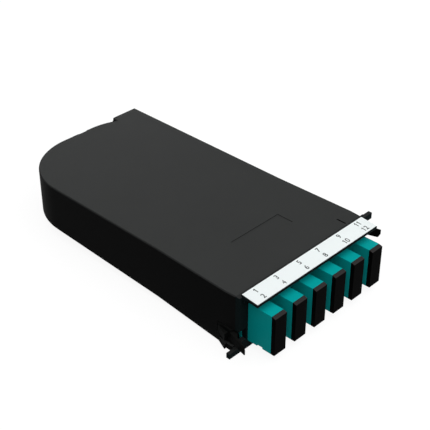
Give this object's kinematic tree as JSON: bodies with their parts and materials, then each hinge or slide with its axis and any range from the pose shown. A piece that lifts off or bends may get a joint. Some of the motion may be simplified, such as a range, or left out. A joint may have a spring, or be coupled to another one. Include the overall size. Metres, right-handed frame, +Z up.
{
  "type": "fibre cassette",
  "caption": "Flat tapering plastic housing with capped twin fibre adapters across its front, a sloping number label, side latches and a trunk port in the rear block.",
  "frame": {"origin": "middle of the overall box in X and Y, at its lowest point, which is the front panel's lower edge", "axes": "+X right along the row of ports, -Y front with the ports, +Y rear with the trunk port, +Z up"},
  "size_m": [0.12, 0.2212, 0.0382],
  "materials": {
    "housing": "fine satin grain, dark grey moulding",
    "panel": "satin black moulding",
    "label": "smooth pale printed film with thin grey numbers",
    "adapter": "satin teal moulding",
    "cap": "soft black moulding",
    "lever": "satin black moulding",
    "ceramic": "polished white ceramic",
    "plug": "satin teal moulding",
    "boot": "soft dark sleeve",
    "fibre_jacket": "thin teal jacket",
    "fanout": "plain black moulding",
    "trunk_plastic": "plain black moulding",
    "screw_steel": "plated steel",
    "pin_steel": "ground steel rod",
    "spring_steel": "spring strip"
  },
  "bodies": {
    "cassette": {"housing_shell": "housing", "base_plate": "housing", "front_panel": "panel", "label_carrier": "panel", "port_label": "label", "base_screws": "screw_steel", "trunk_screws": "screw_steel", "port_inserts": "adapter", "split_sleeves": "ceramic", "plug_ferrules": "ceramic", "plug_boots": "boot", "trunk_adapter": "trunk_plastic", "trunk_plug": "trunk_plastic", "trunk_boot": "boot", "fibre_ribbon": "fibre_jacket", "fanout_block": "fanout", "fibre_legs": "fibre_jacket", "latch_pin_left": "pin_steel", "latch_pin_right": "pin_steel", "latch_spring_left": "spring_steel", "latch_spring_right": "spring_steel", "adapter_1": "adapter", "adapter_2": "adapter", "adapter_3": "adapter", "adapter_4": "adapter", "adapter_5": "adapter", "adapter_6": "adapter", "rear_plug_1": "plug", "rear_plug_2": "plug", "rear_plug_3": "plug", "rear_plug_4": "plug", "rear_plug_5": "plug", "rear_plug_6": "plug", "rear_plug_7": "plug", "rear_plug_8": "plug", "rear_plug_9": "plug", "rear_plug_10": "plug", "rear_plug_11": "plug", "rear_plug_12": "plug"},
    "cap_1": {"dust_cap_1": "cap"},
    "cap_2": {"dust_cap_2": "cap"},
    "cap_3": {"dust_cap_3": "cap"},
    "cap_4": {"dust_cap_4": "cap"},
    "cap_5": {"dust_cap_5": "cap"},
    "cap_6": {"dust_cap_6": "cap"},
    "rear_cap": {"trunk_cap": "cap"},
    "lever_left": {"latch_lever_left": "lever"},
    "lever_right": {"latch_lever_right": "lever"}
  },
  "joints": [
    {"name": "cap_1_pull", "type": "slide", "parent": "cassette", "child": "cap_1", "axis": [0, -1, 0], "range_m": [0, 0.03]},
    {"name": "cap_2_pull", "type": "slide", "parent": "cassette", "child": "cap_2", "axis": [0, -1, 0], "range_m": [0, 0.03]},
    {"name": "cap_3_pull", "type": "slide", "parent": "cassette", "child": "cap_3", "axis": [0, -1, 0], "range_m": [0, 0.03]},
    {"name": "cap_4_pull", "type": "slide", "parent": "cassette", "child": "cap_4", "axis": [0, -1, 0], "range_m": [0, 0.03]},
    {"name": "cap_5_pull", "type": "slide", "parent": "cassette", "child": "cap_5", "axis": [0, -1, 0], "range_m": [0, 0.03]},
    {"name": "cap_6_pull", "type": "slide", "parent": "cassette", "child": "cap_6", "axis": [0, -1, 0], "range_m": [0, 0.03]},
    {"name": "rear_cap_pull", "type": "slide", "parent": "cassette", "child": "rear_cap", "axis": [0, 1, 0], "range_m": [0, 0.025]},
    {"name": "lever_left_press", "type": "hinge", "parent": "cassette", "child": "lever_left", "pos_m": [-0.04869, -0.06585, 0.0105], "axis": [0, 0, 1], "range_deg": [0, 6], "stiffness_Nm_per_rad": 0.05, "springref_deg": -9.74, "deforming": ["latch_spring_left"]},
    {"name": "lever_right_press", "type": "hinge", "parent": "cassette", "child": "lever_right", "pos_m": [0.04869, -0.06585, 0.02636], "axis": [0, 0, -1], "range_deg": [0, 6], "stiffness_Nm_per_rad": 0.05, "springref_deg": -9.74, "deforming": ["latch_spring_right"]}
  ]
}
